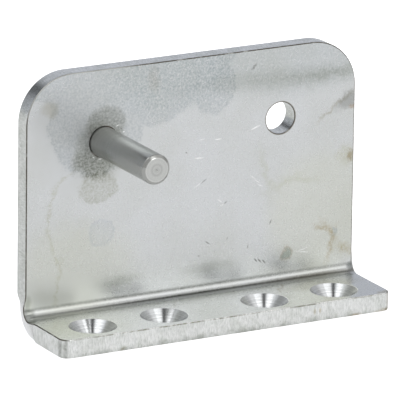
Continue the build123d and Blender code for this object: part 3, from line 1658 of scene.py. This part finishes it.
@dataclass(frozen=True)
class Softbox:
    """A soft light in the surround, or a black flag where its strength is less than zero.

    It covers a rectangle of directions above the floor, given by their X and Y.
    """

    centre: tuple[float, float]
    half_size: tuple[float, float]
    strength: float
    fade: float = 0.35

    def glow(self, tree: Any, towards: Any) -> Any:
        """Work out the light that it adds.

        Args:
            tree: the node tree to add to.
            towards: the direction looked in.

        Returns:
            The strength added in that direction.
        """
        offset = add_node(
            tree, "ShaderNodeVectorMath", {0: towards, 1: (*self.centre, 0)}, operation="SUBTRACT"
        )
        scaled = add_node(
            tree,
            "ShaderNodeVectorMath",
            {0: offset.outputs["Vector"], 1: (1 / self.half_size[0], 1 / self.half_size[1], 0)},
            operation="MULTIPLY",
        )
        sides = add_node(
            tree, "ShaderNodeVectorMath", {0: scaled.outputs["Vector"]}, operation="ABSOLUTE"
        )
        along = add_node(tree, "ShaderNodeSeparateXYZ", {"Vector": sides.outputs["Vector"]})
        reach = add_node(
            tree,
            "ShaderNodeMath",
            {0: along.outputs["X"], 1: along.outputs["Y"]},
            operation="MAXIMUM",
        )
        return add_node(
            tree,
            "ShaderNodeMapRange",
            {
                "Value": reach.outputs["Value"],
                "From Min": 1 + self.fade,
                "From Max": 1 - self.fade,
                "To Max": self.strength,
            },
            interpolation_type="SMOOTHSTEP",
        ).outputs["Result"]


@dataclass
class Studio:
    """Pale floor, soft light and the camera at the photograph's viewing angle."""

    azimuth: float = radians(-28.6695)
    elevation: float = radians(16.4413)
    roll: float = radians(0.7829)
    aim: tuple[float, float, float] = (5.877 * MM, 19.415 * MM, 28.33 * MM)
    distance: float = 1710.1 * MM
    sensor: float = 36.0
    focal_length: float = 587.14
    floor_size: float = 8.0
    floor_drop: float = 0.05 * MM
    floor_colour: str = "#E6E6E6"
    floor_glow: float = 0.8
    floor_gleam: float = 0.25
    background: float = 1.0
    walls: float = 0.6
    ceiling: float = 0.34
    ceiling_from: float = 0.55
    ceiling_full: float = 0.97
    lamp_colour: str = "#FFFFFF"
    daylight_colour: str = "#F1F5FF"
    daylight_from: float = 0.1
    daylight_full: float = 0.7
    softboxes: tuple[Softbox, ...] = (
        Softbox((0.20, -0.83), (0.17, 0.12), 2.0),
        Softbox((0.52, -0.70), (0.30, 0.17), 0.24),
        Softbox((0.22, -0.32), (0.21, 0.13), 0.9, 0.2),
        Softbox((0.40, -0.26), (0.34, 0.16), 0.8, 0.6),
        Softbox((-0.39, 0.00), (0.15, 0.38), 1.1, 0.2),
        Softbox((-0.50, 0.10), (0.24, 0.50), 0.5, 0.6),
        Softbox((-0.13, -0.25), (0.085, 0.15), -0.4),
        Softbox((-0.26, 0.85), (0.14, 0.15), -0.58),
    )

    def place_camera(self) -> None:
        """Set the camera on the photograph's line of sight."""
        data = bpy.data.cameras.new("camera")
        data.sensor_width = self.sensor
        data.lens = self.focal_length
        camera = bpy.data.objects.new("camera", data)
        turn = (
            Euler((0, 0, self.azimuth)).to_matrix()
            @ Euler((pi / 2 - self.elevation, 0, 0)).to_matrix()
            @ Euler((0, 0, self.roll)).to_matrix()
        )
        camera.matrix_world = turn.to_4x4()
        camera.location = Vector(self.aim) + turn @ Vector((0, 0, self.distance))
        bpy.context.scene.collection.objects.link(camera)
        bpy.context.scene.camera = camera

    def lay_floor(self) -> bpy.types.Object:
        """Lay a white floor that metal sees as white too and that keeps the bracket's shadow.

        Returns:
            The floor.
        """
        leave_edit_mode()
        bpy.ops.mesh.primitive_plane_add(size=self.floor_size, location=(0, 0, -self.floor_drop))
        floor = bpy.context.object
        floor.name = "floor"
        material = bpy.data.materials.new("white paper floor")
        material.use_nodes = True
        tree = material.node_tree
        tree.nodes.clear()
        rays = add_node(tree, "ShaderNodeLightPath")
        mirrored = add_node(
            tree,
            "ShaderNodeMath",
            {0: rays.outputs["Is Glossy Ray"], 1: rays.outputs["Is Transmission Ray"]},
            operation="ADD",
        )
        gleam = add_node(
            tree,
            "ShaderNodeMath",
            {0: mirrored.outputs["Value"], 1: self.floor_gleam},
            operation="MULTIPLY",
        )
        glow = add_node(
            tree,
            "ShaderNodeMath",
            {0: rays.outputs["Is Camera Ray"], 1: self.floor_glow, 2: gleam.outputs["Value"]},
            operation="MULTIPLY_ADD",
        )
        paper = add_node(tree, "ShaderNodeBsdfDiffuse", {"Color": tone(self.floor_colour)})
        light = add_node(tree, "ShaderNodeEmission", {"Strength": glow.outputs["Value"]})
        both = add_node(
            tree, "ShaderNodeAddShader", {0: paper.outputs["BSDF"], 1: light.outputs["Emission"]}
        )
        add_node(tree, "ShaderNodeOutputMaterial", {"Surface": both.outputs["Shader"]})
        floor.data.materials.append(material)
        return floor

    def light(self) -> None:
        """Light the bracket from pale walls, a dark ceiling and softboxes."""
        world = bpy.data.worlds.new("surround")
        bpy.context.scene.world = world
        world.use_nodes = True
        tree = world.node_tree
        tree.nodes.clear()
        towards = add_node(tree, "ShaderNodeTexCoord").outputs["Generated"]
        along = add_node(tree, "ShaderNodeSeparateXYZ", {"Vector": towards})
        level = add_node(
            tree,
            "ShaderNodeMapRange",
            {
                "Value": along.outputs["Z"],
                "From Min": self.ceiling_from,
                "From Max": self.ceiling_full,
                "To Min": self.walls,
                "To Max": self.ceiling,
            },
            interpolation_type="SMOOTHSTEP",
        ).outputs["Result"]
        for softbox in self.softboxes:
            level = add_node(
                tree, "ShaderNodeMath", {0: level, 1: softbox.glow(tree, towards)}, operation="ADD"
            ).outputs["Value"]
        rays = add_node(tree, "ShaderNodeLightPath")
        strength = add_node(
            tree,
            "ShaderNodeMix",
            {"Factor": rays.outputs["Is Camera Ray"], 2: level, 3: self.background},
            data_type="FLOAT",
        )
        behind = add_node(
            tree,
            "ShaderNodeMapRange",
            {
                "Value": along.outputs["Y"],
                "From Min": self.daylight_from,
                "From Max": self.daylight_full,
            },
        )
        tint = add_node(
            tree,
            "ShaderNodeMix",
            {
                "Factor": behind.outputs["Result"],
                6: tone(self.lamp_colour),
                7: tone(self.daylight_colour),
            },
            data_type="RGBA",
        )
        background = add_node(
            tree,
            "ShaderNodeBackground",
            {"Color": tint.outputs[2], "Strength": strength.outputs[0]},
        )
        add_node(tree, "ShaderNodeOutputWorld", {"Surface": background.outputs["Background"]})


def keep(piece: bpy.types.Object, node: str) -> None:
    """Fix a finished piece to the bracket in place of its solid.

    Args:
        piece: the finished piece.
        node: the solid that it stands for.
    """
    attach(piece, BODY)
    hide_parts(node)
    log.info("%s stands for %s, with %d faces", piece.name, node, len(piece.data.polygons))


def main() -> None:
    """Build the bracket's pieces, dress them and set the studio."""
    logging.basicConfig(level=logging.INFO)
    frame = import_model()
    mounts = {mount["name"]: mount for mount in frame["record"]["mounts"]}
    bore = mounts["spare_pin_hole"]["dims"]
    low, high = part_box("bracket_plate")
    spacings = [mounts[name]["dims"]["spacing_x_mm"] for name in ("inner_screws", "outer_screws")]
    screw_places = tuple(side * spacing / 2 * MM for spacing in spacings for side in (-1, 1))
    pin_centre = Vector(mounts["hinge_pin"]["pos_m"])
    spare_centre = Vector(mounts["spare_pin_hole"]["pos_m"])
    plate = FoldedPlate(
        thickness=bore["length_mm"] * MM,
        top=high.z,
        back=high.y,
        flange_front=low.y,
        screw_places=screw_places,
        screw_radius=mounts["outer_screws"]["dims"]["hole_r_mm"] * MM,
        pin_centres=(pin_centre, spare_centre),
        pin_hole_radius=bore["r_mm"] * MM,
    )
    countersink = TurnedSteel(
        name="countersunk stainless",
        axis=TurnAxis.SCREW,
        centres=tuple((x / MM, 0.0, plate.thickness / MM) for x in screw_places),
        colour="#DCDEDF",
        ring_colour="#BEC0C1",
        ring_spacing=0.5,
        roughness=0.2,
        anisotropy=0.85,
    )
    finishes = PlateFinishes(
        front=MillSheet(
            name="pickled stainless sheet, front of the plate",
            stains=FRONT_STAINS,
            dulled=(Lobe(-31, 51, 13, 11), Lobe(-41, 10, 4, 1.5)),
            dark_marks=DARK_NICKS,
            bright_marks=BRIGHT_SCRATCHES,
        ).material(),
        flange=MillSheet(
            name="pickled stainless sheet, top of the flange",
            stains=FLANGE_STAINS,
            lies_flat=True,
            colour="#E5E7E8",
            cloud_colour="#DFE1E0",
        ).material(),
        back=MillSheet(name="pickled stainless sheet, outside", stains=BACK_STAINS).material(),
        cut=CutEdge(
            flange_front=plate.flange_front / MM,
            fold_height=plate.bend_axis.z / MM,
            stains=FRONT_EDGE_STAINS,
        ).material(),
        rim=BurntRim().material(),
        countersink=countersink.material(),
    )
    keep(plate.build(finishes), "bracket_plate")

    pin_low, pin_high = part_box("hinge_pin")
    pin = HingePin(
        centre=pin_centre,
        radius=mounts["hinge_pin"]["dims"]["r_mm"] * MM,
        tip=pin_low.y,
        plate_front=plate.front,
        root_end=pin_high.y,
    )
    bar = TurnedSteel(
        name="turned stainless bar",
        axis=TurnAxis.PIN,
        centres=((pin_centre.x / MM, pin.tip / MM, pin_centre.z / MM),),
        colour="#AEAFAC",
        ring_colour="#A5A6A3",
        ring_spacing=0.45,
        roughness=0.22,
        anisotropy=0.5,
        dull_root=DullRoot(start=18.0, full=28.5, roughness=0.5),
    )
    # The end face: the bar's turned steel painted lighter, a painted highlight
    faced = replace(
        bar,
        name="freshly faced stainless end",
        colour="#D3D4D1",
        ring_colour="#BABBB8",
        ring_spacing=0.9,
    )
    keep(pin.build(bar.material(), faced.material()), "hinge_pin")

    weld_low, weld_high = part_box("pin_weld")
    weld = PinWeld(
        centre=pin_centre,
        plate_back=plate.back,
        crown=weld_high.y,
        gap_front=weld_low.y,
        outer_toe=(weld_high.x - weld_low.x) / 2,
        hole_radius=plate.pin_hole_radius,
        root_radius=pin.root_radius,
    )
    keep(weld.build(WeldBead().material()), "pin_weld")

    studio = Studio()
    studio.place_camera()
    studio.lay_floor()
    studio.light()
    bpy.context.scene.view_settings.view_transform = "Standard"


if __name__ == "__main__":
    main()
